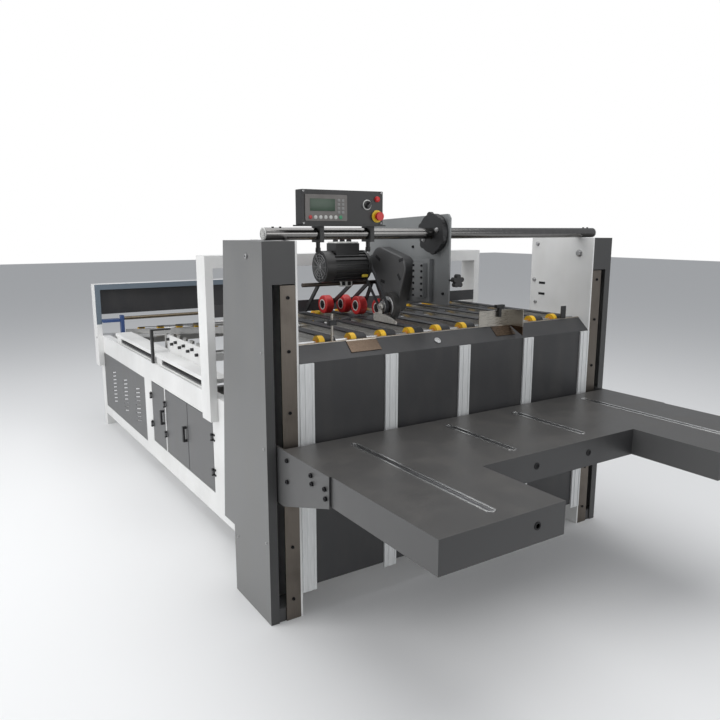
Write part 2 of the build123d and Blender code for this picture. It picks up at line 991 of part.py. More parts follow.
# white folding guides on the decks, with black clamping knobs
with BuildPart() as fold_guides:
    for side in (-1, 1):
        guide_x = fold_x
        block(
            side * guide_x,
            side * (guide_x - fold_t),
            fold_y0,
            fold_y1,
            deck_top_h,
            fold_top_h,
        )
fold_guides.part.label = "fold_guides"
export_step(fold_guides.part, "parts/fold_guides.step")

with BuildPart() as fold_knobs:
    for side in (-1, 1):
        for i in range(fold_knob_count):
            knob_back = fold_y0 + (i + 0.5) * (fold_y1 - fold_y0) / fold_knob_count
            knob_h = fold_top_h - (24 if i % 2 else 44)
            round_x(
                side * guide_x,
                side * (guide_x + 16),
                knob_back,
                knob_h,
                fold_knob_r,
            )
fold_knobs.part.label = "fold_knobs"
export_step(fold_knobs.part, "parts/fold_knobs.step")

# rear frame, its dark panel and the cross roller in its bearing blocks
with BuildPart() as rear_frame:
    arch(
        rear_frame_back,
        rear_frame_depth,
        rear_frame_top_h,
        rear_beam_h,
        rear_frame_bottom_h,
    )
rear_frame.part.label = "rear_frame"
export_step(rear_frame.part, "parts/rear_frame.step")

with BuildPart() as cross_plates:
    block(
        -portal_inner_x,
        portal_inner_x,
        portal_back,
        portal_back + cross_plate_t,
        cross_plate_h0,
        cross_plate_h1,
    )
    block(
        -portal_inner_x,
        portal_inner_x,
        rear_frame_back + rear_frame_depth / 2,
        rear_frame_back + rear_frame_depth / 2 + cross_plate_t,
        rear_panel_h0,
        rear_frame_top_h - rear_beam_h,
    )
cross_plates.part.label = "cross_plates"
export_step(cross_plates.part, "parts/cross_plates.step")

roller_back = rear_frame_back - 27
with BuildPart() as rear_roller:
    round_x(-rear_roller_half, rear_roller_half, roller_back, rear_roller_h, rear_roller_r)
rear_roller.part.label = "rear_roller"
export_step(rear_roller.part, "parts/rear_roller.step")

with BuildPart() as rear_bearings:
    for side in (-1, 1):
        block(
            side * rear_roller_half,
            side * (rear_roller_half + 24),
            roller_back - 22,
            roller_back + 22,
            base_top_h,
            rear_roller_h + 24,
        )
        block(
            side * (rear_roller_half + 24),
            side * portal_inner_x,
            roller_back - 14,
            rear_frame_back + 40,
            rear_roller_h - 24,
            rear_roller_h - 4,
        )
rear_bearings.part.label = "rear_bearings"
export_step(rear_bearings.part, "parts/rear_bearings.step")

# stainless guides on the front rim, and the gauge post
rim_lean = atan2(rim_h - panel_fold_h, rim_back)
guide_off_b = -sin(rim_lean) * guide_t
guide_off_h = cos(rim_lean) * guide_t


def rim_guide(x0, x1, low):
    # sheet that lies on the sloped panel from that height up, with a lip over the rim
    b_low = (low - panel_fold_h) / (rim_h - panel_fold_h) * rim_back
    side_profile(
        [
            (b_low, low),
            (rim_back, rim_h),
            (rim_back + rim_flange, rim_h),
            (rim_back + rim_flange, rim_h + guide_t),
            (rim_back + guide_off_b, rim_h + guide_off_h),
            (b_low + guide_off_b, low + guide_off_h),
        ],
        x0,
        x1,
    )


fence_back = rim_back - guide_t
trim_top_h = rim_h + panel_t
gauge_back = rim_back + rim_flange / 2
with BuildPart() as rim_guides:
    block(-side_inner_x, side_inner_x, rim_back, rim_back + rim_flange, rim_h, trim_top_h)
    rim_guide(guide_left_x0, guide_left_x0 + guide_left_w, guide_low_h)
    rim_guide(fence_x1 - guide_right_w, fence_x1, guide_low_h)
    block(fence_x0, fence_x1, fence_back, rim_back, rim_h, fence_h)
    side_profile(
        [
            (rim_back + rim_flange, trim_top_h),
            (rim_back + rim_flange, fence_h),
            (rim_back, fence_h),
            (wing_front, fence_h + wing_rise),
            (wing_front, wing_low_h),
            (rim_back, trim_top_h),
        ],
        fence_x1 - guide_t,
        fence_x1,
    )
    with Locations((gauge_x, at(gauge_back), (trim_top_h + gauge_top_h) / 2)):
        Cylinder(gauge_r, gauge_top_h - trim_top_h)
rim_guides.part.label = "rim_guides"
export_step(rim_guides.part, "parts/rim_guides.step")

with BuildPart() as rim_knobs:
    block(
        fence_knob_x - 7,
        fence_knob_x + 7,
        fence_back - 14,
        fence_back,
        fence_h - 30,
        fence_h + 12,
    )
    block(
        fence_knob_x - 24,
        fence_knob_x + 24,
        fence_back - 16,
        fence_back + 2,
        fence_h + 12,
        fence_h + 25,
    )
    with BuildSketch(Plane.XY.offset(gauge_clamp_h)):
        with Locations((gauge_x, at(gauge_back))):
            RectangleRounded(34, 22, 4)
            Circle(gauge_r + seat, mode=Mode.SUBTRACT)
    extrude(amount=20)
rim_knobs.part.label = "rim_knobs"
export_step(rim_knobs.part, "parts/rim_knobs.step")

# glue head plate that hangs on the shaft
plate_points = [
    (plate_front, 1182),
    (plate_front, plate_top_h - 16),
    (plate_front + 14, plate_top_h),
    (plate_rear, plate_top_h - 22),
    (plate_rear, 1330),
    (500, 1225),
    (460, 1180),
    (154, 1180),
]
with BuildPart() as glue_plate:
    side_profile(plate_points, glue_plate_x0, plate_x1)
    round_x(glue_plate_x0, plate_x1, shaft_back, shaft_h, shaft_r + seat, Mode.SUBTRACT)
    fillet(glue_plate.edges().filter_by(Axis.X).filter_by(GeomType.LINE), 8)
glue_plate.part.label = "glue_plate"
export_step(glue_plate.part, "parts/glue_plate.step")

with BuildPart() as plate_clamp:
    ring_x(
        glue_plate_x0 - clamp_t,
        glue_plate_x0,
        shaft_back,
        shaft_h,
        clamp_r,
        shaft_r + seat,
    )
    ring_x(plate_x1, plate_x1 + hub_t, shaft_back, shaft_h, hub_r, shaft_r + seat)
    with BuildSketch(Plane.YZ.offset(glue_plate_x0 - clamp_t)):
        with Locations((at(shaft_back), shaft_h)):
            with PolarLocations(clamp_r - lobe_r / 2, lobe_count, start_angle=lobe_lead):
                Circle(lobe_r)
            Circle(shaft_r + seat, mode=Mode.SUBTRACT)
    extrude(amount=lobe_t)
plate_clamp.part.label = "plate_clamp"
export_step(plate_clamp.part, "parts/plate_clamp.step")

# five-pointed star knob on a threaded stem at the front edge
knob_h = 1288
with BuildPart() as star_knob:
    stem_x = (glue_plate_x0 + plate_x1) / 2
    with BuildSketch(Plane.XZ.offset(-at(plate_front))):
        with Locations((stem_x, knob_h)):
            Circle(plate_t / 2)
    extrude(amount=40)
    with BuildSketch(Plane.XZ.offset(-at(plate_front - 40))):
        with Locations((stem_x, knob_h)):
            Circle(16)
            with PolarLocations(18, 5, start_angle=18):
                Circle(10)
    extrude(amount=20)
star_knob.part.label = "star_knob"
export_step(star_knob.part, "parts/star_knob.step")

# motor with its fan cowl, cooling ribs and terminal box
with BuildPart() as glue_motor:
    round_x(motor_x0 + 40, motor_x1, motor_back, motor_h, motor_r - 8)
    round_x(motor_x0, motor_x0 + 46, motor_back, motor_h, motor_r)
    round_x(motor_x1 - 14, motor_x1, motor_back, motor_h, motor_r)
    with BuildSketch(Plane.YZ.offset(motor_x0 + 40)):
        with Locations((at(motor_back), motor_h)):
            with PolarLocations(motor_r - 7, 20, start_angle=9):
                Rectangle(12, 4)
    extrude(amount=motor_x1 - motor_x0 - 50)
    box_low = motor_h + motor_r - 20
    block(motor_x0 + 60, motor_x0 + 180, motor_back - 42, motor_back + 42, box_low, box_low + 52)
glue_motor.part.label = "glue_motor"
export_step(glue_motor.part, "parts/glue_motor.step")

# rounded belt cover on the plate, with the V-belt drive on its face
cover_lobes = ((430, 1350, 66), (285, 1325, 56), (glue_wheel_back + 12, 1172, 46))
with BuildPart() as belt_cover:
    with BuildSketch(Plane.YZ.offset(cover_block_x0)):
        for lobe_back, lobe_h, lobe_r in cover_lobes:
            with Locations((at(lobe_back), lobe_h)):
                Circle(lobe_r)
        make_hull()
    extrude(amount=glue_plate_x0 - cover_block_x0)
    fillet(belt_cover.faces().sort_by(Axis.X)[0].edges(), 6)
belt_cover.part.label = "belt_cover"
export_step(belt_cover.part, "parts/belt_cover.step")

drive_x0 = motor_x1 + 6
drive_x1 = drive_x0 + drive_belt_w
glue_wheel_h = belt_top_h + wheel_lift + glue_wheel_r
with BuildPart() as drive_pulleys:
    round_x(drive_x0 - 3, drive_x1 + 3, motor_back, motor_h, drive_pulley_r)
    round_x(motor_x1, drive_x0 - 3, motor_back, motor_h, 12)
    round_x(drive_x0 - 3, drive_x1 + 3, glue_wheel_back, glue_wheel_h, drive_low_r)
    round_x(axle_end, cover_block_x0, glue_wheel_back, glue_wheel_h, axle_r)
drive_pulleys.part.label = "drive_pulleys"
export_step(drive_pulleys.part, "parts/drive_pulleys.step")

with BuildPart() as drive_belt:
    belt_loop(
        drive_x0,
        drive_x1,
        motor_back,
        motor_h,
        drive_pulley_r + seat,
        glue_wheel_back,
        glue_wheel_h,
        drive_low_r + seat,
        drive_belt_t,
    )
drive_belt.part.label = "drive_belt"
export_step(drive_belt.part, "parts/drive_belt.step")

# vertical slide beside the cover, and the bracket behind the motor
with BuildPart() as head_brackets:
    seat_back = motor_back + motor_r + seat
    block(
        motor_x1 - motor_bracket_l,
        glue_plate_x0,
        seat_back,
        seat_back + bracket_w,
        motor_h - motor_bracket_h / 2,
        motor_h + motor_bracket_h / 2,
    )
    slide_face = glue_plate_x0 - slide_t
    block(slide_face, glue_plate_x0, slide_back0, slide_back1, slide_h0, slide_h1)
    block(
        slide_face - slide_t,
        slide_face,
        slide_back0 + slide_step,
        slide_back1 - slide_step,
        slide_h0 + slide_step,
        slide_h1 - slide_step,
    )
    fillet(head_brackets.edges().filter_by(Axis.X), 2)
head_brackets.part.label = "head_brackets"
export_step(head_brackets.part, "parts/head_brackets.step")

# glue wheel on its axle, with the casting that runs beside it
wheel_x1 = cover_block_x0 - running
wheel_x0 = wheel_x1 - glue_wheel_w
with BuildPart() as glue_wheel:
    ring_x(wheel_x0, wheel_x1, glue_wheel_back, glue_wheel_h, glue_wheel_r, axle_r + seat)
glue_wheel.part.label = "glue_wheel"
export_step(glue_wheel.part, "parts/glue_wheel.step")

shoe_x0 = axle_end + 3
shoe_x1 = shoe_x0 + 8
with BuildPart() as glue_shoe:
    shoe_low = belt_top_h + wheel_lift
    with BuildSketch(Plane.YZ.offset(shoe_x0)):
        with Locations((at(glue_wheel_back), glue_wheel_h)):
            Circle(shoe_boss_r)
        with Locations((at(glue_wheel_back), (glue_wheel_h + shoe_low) / 2)):
            Rectangle(shoe_neck_w, glue_wheel_h - shoe_low)
        with BuildLine():
            nose = (at(glue_wheel_back - shoe_front), shoe_low)
            heel = (at(glue_wheel_back + shoe_rear), shoe_low)
            heel_top = (heel[0], shoe_low + shoe_h)
            back_top = (at(glue_wheel_back), shoe_low + shoe_h)
            nose_top = (nose[0], shoe_low + shoe_h / 3)
            Line(nose, heel)
            Line(heel, heel_top)
            Line(heel_top, back_top)
            TangentArc(back_top, nose_top, tangent=(-1, 0))
            Line(nose_top, nose)
        make_face()
        with Locations((at(glue_wheel_back), glue_wheel_h)):
            Circle(axle_r + seat, mode=Mode.SUBTRACT)
    extrude(amount=shoe_x1 - shoe_x0)
glue_shoe.part.label = "glue_shoe"
export_step(glue_shoe.part, "parts/glue_shoe.step")

# rod behind the motor that carries the arms, with its square block
with BuildPart() as arm_rod:
    half = beam_size / 2
    round_x(rod_x0, glue_plate_x0, beam_back, beam_h, rod_r)
    block(beam_x0, beam_x1, beam_back - half, beam_back + half, beam_h - half, beam_h + half)
arm_rod.part.label = "arm_rod"
export_step(arm_rod.part, "parts/arm_rod.step")

# red press wheels, each on a trailing arm
with BuildPart() as wheel_arms:
    arm_sites = [(face_x + wheel_w + running, back, wheel_h) for face_x, back in wheel_sites]
    arm_sites.append((free_arm_x, *free_arm_end))
    for x0, back, end_h in arm_sites:
        lean = atan2(end_h - beam_h, back - beam_back)
        span = hypot(end_h - beam_h, back - beam_back)
        with BuildSketch(Plane.YZ.offset(x0)):
            with Locations(((at(beam_back) + at(back)) / 2, (beam_h + end_h) / 2)):
                SlotCenterToCenter(span, arm_w, rotation=degrees(lean))
            with Locations((at(beam_back), beam_h)):
                Circle(rod_r + seat, mode=Mode.SUBTRACT)
        extrude(amount=arm_t)
    for face_x, back in wheel_sites:
        round_x(face_x - axle_over, face_x + wheel_w + running, back, wheel_h, axle_r)
wheel_arms.part.label = "wheel_arms"
export_step(wheel_arms.part, "parts/wheel_arms.step")

for i, (face_x, back) in enumerate(wheel_sites):
    with BuildPart() as press_wheel:
        ring_x(face_x, face_x + wheel_w, back, wheel_h, wheel_r, axle_r + seat)
        fillet(press_wheel.edges().filter_by(GeomType.CIRCLE).group_by(SortBy.RADIUS)[-1], 6)
    press_wheel.part.label = "press_wheel_" + str(i + 1)
    export_step(press_wheel.part, "parts/press_wheel_" + str(i + 1) + ".step")
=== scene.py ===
import bpy
import bmesh
import math
import random
from mathutils import Matrix, Vector


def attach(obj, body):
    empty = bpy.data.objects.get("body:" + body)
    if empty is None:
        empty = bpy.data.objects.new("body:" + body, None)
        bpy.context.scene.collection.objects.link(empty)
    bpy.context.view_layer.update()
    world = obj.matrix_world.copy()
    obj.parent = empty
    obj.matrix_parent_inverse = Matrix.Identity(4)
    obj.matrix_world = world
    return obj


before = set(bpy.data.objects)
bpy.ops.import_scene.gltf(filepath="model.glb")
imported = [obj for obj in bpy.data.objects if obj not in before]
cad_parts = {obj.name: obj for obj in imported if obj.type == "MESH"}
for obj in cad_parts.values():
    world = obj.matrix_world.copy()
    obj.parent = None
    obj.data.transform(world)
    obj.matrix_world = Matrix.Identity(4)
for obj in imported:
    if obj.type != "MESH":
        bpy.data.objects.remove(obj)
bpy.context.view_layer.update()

# The room: a pale floor and a pale wall of light all round, with a broad soft lamp overhead and one
# to the left, as in a hall lit by long roof windows. The camera stands at the left front corner.
scene = bpy.context.scene
scene.view_settings.view_transform = "Standard"
camera = bpy.data.objects.new("camera", bpy.data.cameras.new("camera"))
scene.collection.objects.link(camera)
camera.data.sensor_width = 36
camera.data.lens = 34.37
camera.data.clip_end = 100
camera.location = (-1.948, -3.382, 1.496)
camera.rotation_mode = "QUATERNION"
camera.rotation_quaternion = Vector((0.5318, 0.8259, -0.1871)).to_track_quat("-Z", "Y")
scene.camera = camera


def lamp(name, place, target, size, watts):
    data = bpy.data.lights.new(name, "AREA")
    data.shape = "RECTANGLE"
    data.size, data.size_y = size
    data.energy = watts
    obj = bpy.data.objects.new(name, data)
    scene.collection.objects.link(obj)
    obj.location = place
    obj.rotation_mode = "QUATERNION"
    obj.rotation_quaternion = (Vector(target) - Vector(place)).to_track_quat("-Z", "Y")


lamp("roof_lamp", (0.0, -0.6, 4.6), (0.0, 0.0, 0.6), (5.0, 6.0), 150)
lamp("left_lamp", (-5.2, 0.6, 2.4), (0.0, 0.3, 0.7), (3.0, 6.0), 170)
lamp("front_lamp", (1.6, -6.0, 2.2), (0.0, -0.6, 0.8), (4.0, 2.4), 60)

world = bpy.data.worlds.new("hall")
scene.world = world
world.use_nodes = True
sky = world.node_tree
sky.nodes.clear()
sky_out = sky.nodes.new("ShaderNodeOutputWorld")
sky_mix = sky.nodes.new("ShaderNodeMixShader")
sky_rays = sky.nodes.new("ShaderNodeLightPath")
sky_lit = sky.nodes.new("ShaderNodeBackground")
sky_seen = sky.nodes.new("ShaderNodeBackground")
sky_lit.inputs["Color"].default_value = (0.93, 0.96, 1.0, 1.0)
sky_lit.inputs["Strength"].default_value = 0.42
sky_seen.inputs["Strength"].default_value = 1.0
sky_seen.inputs["Color"].default_value = (1.0, 1.0, 1.0, 1.0)
sky.links.new(sky_rays.outputs["Is Camera Ray"], sky_mix.inputs[0])
sky.links.new(sky_lit.outputs[0], sky_mix.inputs[1])
sky.links.new(sky_seen.outputs[0], sky_mix.inputs[2])
sky.links.new(sky_mix.outputs[0], sky_out.inputs[0])


class Value:
    """a socket in a sum: each operator adds the Math node that does it"""

    def __init__(self, finish, socket):
        self.finish, self.socket = finish, socket

    def math(self, kind, *terms):
        inputs = dict(enumerate(terms))
        return self.finish.node("ShaderNodeMath", {"operation": kind}, inputs)

    def __add__(self, other):
        return self.math("ADD", self, other)

    def __sub__(self, other):
        return self.math("SUBTRACT", self, other)

    def __rsub__(self, other):
        return self.math("SUBTRACT", other, self)

    def __mul__(self, other):
        return self.math("MULTIPLY", self, other)

    def __truediv__(self, other):
        return self.math("DIVIDE", self, other)

    def __gt__(self, other):
        return self.math("GREATER_THAN", self, other)

    def __lt__(self, other):
        return self.math("LESS_THAN", self, other)

    def __mod__(self, other):
        return self.math("FLOORED_MODULO", self, other)

    __radd__ = __add__
    __rmul__ = __mul__


class Finish:
    """a surface finish: its material, its main shader and what varies over it"""

    def __init__(self, name, colour, rough, metal=0.0, coat=0.0):
        self.material = bpy.data.materials.new(name)
        self.material.use_nodes = True
        self.tree = self.material.node_tree
        self.shader = self.tree.nodes["Principled BSDF"]
        self.colour = colour
        self.set("Base Color", (*colour, 1.0))
        self.set("Roughness", rough)
        self.set("Metallic", metal)
        self.set("Coat Weight", coat)
        self.material.diffuse_color = (*colour, 1.0)

    def put(self, socket, value):
        if isinstance(value, Value):
            self.tree.links.new(value.socket, socket)
        elif isinstance(value, tuple) and socket.type == "RGBA" and len(value) == 3:
            socket.default_value = (*value, 1.0)
        else:
            socket.default_value = value

    def set(self, name, value):
        self.put(self.shader.inputs[name], value)

    def node(self, kind, settings, inputs, output=0):
        made = self.tree.nodes.new(kind)
        for key, value in settings.items():
            if key == "stops":
                ramp = made.color_ramp.elements
                while len(ramp) < len(value):
                    ramp.new(1.0)
                for stop, (place, shade) in zip(ramp, value):
                    stop.position = place
                    stop.color = (shade, shade, shade, 1.0)
            else:
                setattr(made, key, value)
        for key, value in inputs.items():
            self.put(made.inputs[key], value)
        return Value(self, made.outputs[output])

    def place(self, stretch=(1.0, 1.0, 1.0)):
        # where a point lies on the machine, in metres, each way times its stretch
        point = self.node("ShaderNodeTexCoord", {}, {}, "Object")
        return self.node("ShaderNodeMapping", {}, {"Vector": point, "Scale": stretch})

    def noise(self, scale, detail=3.0, stretch=(1.0, 1.0, 1.0), low=0.35, high=0.65):
        cloud = self.node(
            "ShaderNodeTexNoise",
            {},
            {"Vector": self.place(stretch), "Scale": scale, "Detail": detail},
        )
        return self.node(
            "ShaderNodeMapRange",
            {"clamp": True},
            {"Value": cloud, "From Min": low, "From Max": high},
        )

    def blend(self, factor, first, second):
        return self.node("ShaderNodeMix", {"data_type": "RGBA"}, {0: factor, 6: first, 7: second}, 2)

    def edge(self, radius=0.002):
        # the mask of a strip beside every sharp edge
        soft = self.node("ShaderNodeBevel", {"samples": 4}, {"Radius": radius})
        flat = self.node("ShaderNodeNewGeometry", {}, {}, "Normal")
        match = self.node("ShaderNodeVectorMath", {"operation": "DOT_PRODUCT"}, {0: soft, 1: flat}, "Value")
        return self.node(
            "ShaderNodeMapRange",
            {"clamp": True},
            {"Value": match, "From Min": 0.995, "From Max": 0.8},
        )

    def relief(self, height, depth, radius=0.0015):
        # bump over an edge that is rounded by the radius
        soft = self.node("ShaderNodeBevel", {"samples": 4}, {"Radius": radius})
        bump = self.node(
            "ShaderNodeBump", {}, {"Height": height, "Distance": depth, "Normal": soft}
        )
        self.set("Normal", bump)

    def onto(self, *nodes):
        for name in nodes:
            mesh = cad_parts[name].data
            mesh.materials.clear()
            mesh.materials.append(self.material)


def shade(colour, times):
    return tuple(min(1.0, c * times) for c in colour)


def paint(name, colour, rough, dirt=(0.3, 0.27, 0.22), edge_highlight=0.5):
    # baked powder paint: fine orange peel, faint clouds of dust, thin pale edges that are a painted
    # highlight
    made = Finish(name, colour, rough)
    cloud = made.noise(2.6, 5.0)
    smear = made.noise(11.0, 6.0, (1.0, 1.0, 0.35), 0.45, 0.75)
    body = made.blend(cloud, shade(colour, 0.93), shade(colour, 1.06))
    dusty = made.blend(smear * 0.09, body, dirt)
    # painted highlight: every sharp edge is lifted towards a paler copy of the paint
    bright = made.blend(made.edge() * edge_highlight, dusty, shade(colour, 1.5))
    made.set("Base Color", bright)
    made.set("Roughness", rough - 0.06 + cloud * 0.08 + smear * 0.06)
    made.relief(made.noise(900.0, 2.0) * 0.6 + made.noise(160.0, 2.0) * 0.4, 0.00012)
    return made


def steel(name, colour, rough, grain=(1.0, 60.0, 60.0), stain=0.15):
    # metal with the fine scratches of its grinding along one way
    made = Finish(name, colour, rough, 1.0)
    lines = made.noise(14.0, 4.0, grain)
    blots = made.noise(9.0, 5.0, low=0.5, high=0.8)
    tint = made.blend(lines, shade(colour, 0.86), shade(colour, 1.08))
    made.set("Base Color", made.blend(blots * stain, tint, shade(colour, 0.45)))
    made.set("Roughness", rough - 0.05 + lines * 0.12 + blots * 0.1)
    made.relief(lines, 0.00006)
    return made


def plastic(name, colour, rough, grime=0.2):
    # moulded plastic with a fine grain and handling marks
    made = Finish(name, colour, rough)
    rubbed = made.noise(24.0, 5.0, low=0.45, high=0.7)
    made.set("Base Color", made.blend(rubbed * grime, colour, shade(colour, 0.5)))
    made.set("Roughness", rough + rubbed * 0.12)
    made.relief(made.noise(700.0, 2.0), 0.00008, 0.001)
    return made


class Shape:
    """a mesh built up from turned, square and bent parts, in millimetres on the machine:
    across, depth behind the front panel, height"""

    def __init__(self):
        self.bm = bmesh.new()

    @staticmethod
    def spot(x, back, h):
        return Vector((x, back - 1182.0, h)) / 1000.0

    def turned(self, centre, axis, profile, steps=20):
        # a turned part: pairs of distance along the axis and radius
        turn = Vector((0, 0, 1)).rotation_difference(Vector(axis).normalized()).to_matrix()
        origin = self.spot(*centre)
        rings = []
        for along, radius in profile:
            ring = []
            for i in range(steps):
                angle = 2 * math.pi * i / steps
                local = Vector((radius * math.cos(angle), radius * math.sin(angle), along))
                ring.append(self.bm.verts.new(origin + turn @ local / 1000.0))
            rings.append(ring)
        for low, high in zip(rings, rings[1:]):
            for i in range(steps):
                j = (i + 1) % steps
                self.bm.faces.new((low[i], low[j], high[j], high[i]))
        self.bm.faces.new(list(reversed(rings[0])))
        self.bm.faces.new(rings[-1])

    def block(self, low, high, bevel=0.6, turn=None):
        # a square part with eased edges, turned about its own middle
        a, b = self.spot(*low), self.spot(*high)
        size = b - a
        matrix = Matrix.Translation((a + b) / 2)
        if turn:
            matrix = matrix @ turn.to_4x4()
        matrix = matrix @ Matrix.Diagonal((abs(size.x), abs(size.y), abs(size.z), 1.0))
        made = bmesh.ops.create_cube(self.bm, size=1.0, matrix=matrix)
        edges = list({e for v in made["verts"] for e in v.link_edges})
        if bevel:
            bmesh.ops.bevel(
                self.bm, geom=edges, offset=bevel / 1000.0, segments=2, affect="EDGES", profile=0.6
            )

    def bar(self, points, radius, steps=10):
        # a round bar or wire bent along its points
        spots = [self.spot(*p) for p in points]
        rings = []
        side = Vector((0, 0, 1))
        for i, spot in enumerate(spots):
            ahead = (spots[min(i + 1, len(spots) - 1)] - spots[max(i - 1, 0)]).normalized()
            if abs(ahead.dot(side)) > 0.95:
                side = Vector((1, 0, 0))
            across = ahead.cross(side).normalized()
            up = across.cross(ahead).normalized()
            ring = []
            for k in range(steps):
                angle = 2 * math.pi * k / steps
                offset = across * math.cos(angle) + up * math.sin(angle)
                ring.append(self.bm.verts.new(spot + offset * radius / 1000.0))
            rings.append(ring)
        for low, high in zip(rings, rings[1:]):
            for k in range(steps):
                j = (k + 1) % steps
                self.bm.faces.new((low[k], low[j], high[j], high[k]))
        self.bm.faces.new(list(reversed(rings[0])))
        self.bm.faces.new(rings[-1])

    def done(self, name, finish, body, smooth=35.0):
        bmesh.ops.recalc_face_normals(self.bm, faces=self.bm.faces)
        mesh = bpy.data.meshes.new(name)
        self.bm.to_mesh(mesh)
        self.bm.free()
        mesh.materials.append(finish.material)
        obj = bpy.data.objects.new(name, mesh)
        scene.collection.objects.link(obj)
        mesh.shade_smooth()
        mesh.set_sharp_from_angle(angle=math.radians(smooth))
        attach(obj, body)
        return obj


def cap_screw(shape, centre, axis, r, tall=0.8):
    # a socket-head screw with its hexagonal recess
    top = r * tall * 2
    shape.turned(
        centre,
        axis,
        [(0, r), (top - r * 0.15, r), (top, r * 0.88), (top, r * 0.5), (top - r * 0.9, r * 0.46)],
        12,
    )


def hex_bolt(shape, centre, axis, r):
    # a hexagon-head bolt on its washer
    shape.turned(centre, axis, [(0, r * 1.25), (r * 0.22, r * 1.25), (r * 0.22, r)], 16)
    shape.turned(centre, axis, [(r * 0.22, r), (r * 0.9, r), (r * 1.0, r * 0.86)], 6)


floor_finish = Finish("floor", (0.86, 0.86, 0.86), 0.85)
floor_mesh = bpy.data.meshes.new("floor")
floor_mesh.from_pydata([(-30, -30, 0), (30, -30, 0), (30, 30, 0), (-30, 30, 0)], [], [(0, 1, 2, 3)])
floor_mesh.materials.append(floor_finish.material)
floor = bpy.data.objects.new("floor", floor_mesh)
scene.collection.objects.link(floor)

# White side plates stand on the floor and carry everything at the front. They are laser-cut steel
# plate in white powder paint, with the slots and bolt heads of the bearings behind them.
WHITE = (0.74, 0.74, 0.73)
white_paint = paint("white_paint", WHITE, 0.42, (0.45, 0.42, 0.36), 0.15)
white_paint.onto("side_plates", "portal_frame", "base_frame", "deck", "fold_guides")
bolt_steel = steel("bolt_steel", (0.5, 0.5, 0.5), 0.34, (8.0, 8.0, 8.0))
black_screw = steel("black_screw", (0.03, 0.03, 0.032), 0.42, (8.0, 8.0, 8.0), 0.05)

plate_bolts = Shape()
for side in (-1, 1):
    for back, h, r in ((351, 1421, 9), (364, 1236, 9), (80, 1380, 14), (350, 1120, 8)):
        hex_bolt(plate_bolts, (side * 798, back, h), (-side, 0, 0), r)
plate_bolts.done("side_plate_bolts", bolt_steel, "machine")

# near black for the painted shade inside slots, holes and recesses; the grommets' black rubber uses it too
hole_shade_black = Finish("hole_shade_black", (0.008, 0.008, 0.009), 0.8)
# Each slot is a thin black patch on the plate: painted shade where the plate is cut through.
plate_slots = Shape()
for side in (-1, 1):
    inner = side * 798
    for h in (1165, 1221):
        low = (min(inner, inner - side * 0.8), 290, h - 6)
        high = (max(inner, inner - side * 0.8), 332, h + 6)
        plate_slots.block(low, high, 0.3)
plate_slots.done("side_plate_slots", hole_shade_black, "machine")

# Sheet covers round the two lift posts: grey powder paint on folded steel, each with a tall slot in
# front where the table bracket runs. Bare steel rails stand beside the slots, held by screws.
cover_paint = paint("cover_paint", (0.165, 0.166, 0.165), 0.46, (0.3, 0.28, 0.24), 0.3)
# painted shade: the covers' front faces are darkened to near black while the sides keep the grey
cover_way = cover_paint.node("ShaderNodeNewGeometry", {}, {}, "Normal")
cover_front_shade = cover_paint.node("ShaderNodeSeparateXYZ", {}, {0: cover_way}, 1) < -0.9
cover_tone = Value(cover_paint, cover_paint.shader.inputs["Base Color"].links[0].from_socket)
cover_paint.set("Base Color", cover_paint.blend(cover_front_shade, cover_tone, (0.05, 0.05, 0.05)))
cover_paint.onto("post_covers")
rail_steel = steel("rail_steel", (0.17, 0.15, 0.13), 0.45, (60.0, 60.0, 1.0), 0.5)
rail_steel.onto("guide_rails")

rail_screws = Shape()
for side in (-1, 1):
    for h in (85, 300, 560, 830, 1060, 1255):
        cap_screw(rail_screws, (side * 838, 0, h), (0, -1, 0), 6.5, 0.35)
rail_screws.done("rail_screws", black_screw, "machine")

cover_screws = Shape()
for side in (-1, 1):
    cap_screw(cover_screws, (side * 935, 130, 1400), (side, 0, 0), 9, 0.4)
    for h in (330, 700, 1060):
        cap_screw(cover_screws, (side * 935, 26, h), (side, 0, 0), 5, 0.3)
    cap_screw(cover_screws, (side * 935, 300, 250), (side, 0, 0), 5, 0.3)
cover_screws.done("cover_screws", bolt_steel, "machine")

# Dark front panel: charcoal powder paint, satin, folded back at the top. Five grooved aluminium
# strips are bolted down its face and carry the boards as the table goes up.
charcoal_paint = paint("charcoal_paint", (0.034, 0.034, 0.036), 0.42, (0.18, 0.165, 0.14), 0.6)
charcoal_paint.onto("front_panel", "cross_plates")
strip_metal = steel("strip_metal", (0.74, 0.75, 0.75), 0.4, (70.0, 70.0, 1.0), 0.08)
strip_metal.set("Metallic", 0.25)
strip_metal.onto("panel_strips")

strip_bolts = Shape()
for i in range(5):
    strip_x = (i - 2) * 384
    for h in (126, 906, 935):
        strip_bolts.turned((strip_x, -5.4, h), (0, -1, 0), [(0, 5.5), (1.6, 5.5), (2.4, 4.2)], 12)
strip_bolts.done("strip_bolts", black_screw, "machine")

panel_lock = Shape()
panel_lock.turned(
    (-127, 26, 1034), (0, -0.67, 0.74), [(-2, 15), (3, 15), (5, 13.5), (5, 9), (2, 8), (2, 0.5)], 32
)
panel_lock.done("panel_lock_ring", bolt_steel, "machine")

# Feed table: a U-shaped tray folded from thick sheet, in a dark satin paint. Bright slot liners are
# let into its top, and a bracket at each side is bolted up with cap screws.
table_paint = paint("table_paint", (0.062, 0.060, 0.058), 0.36, (0.22, 0.2, 0.17), 0.6)
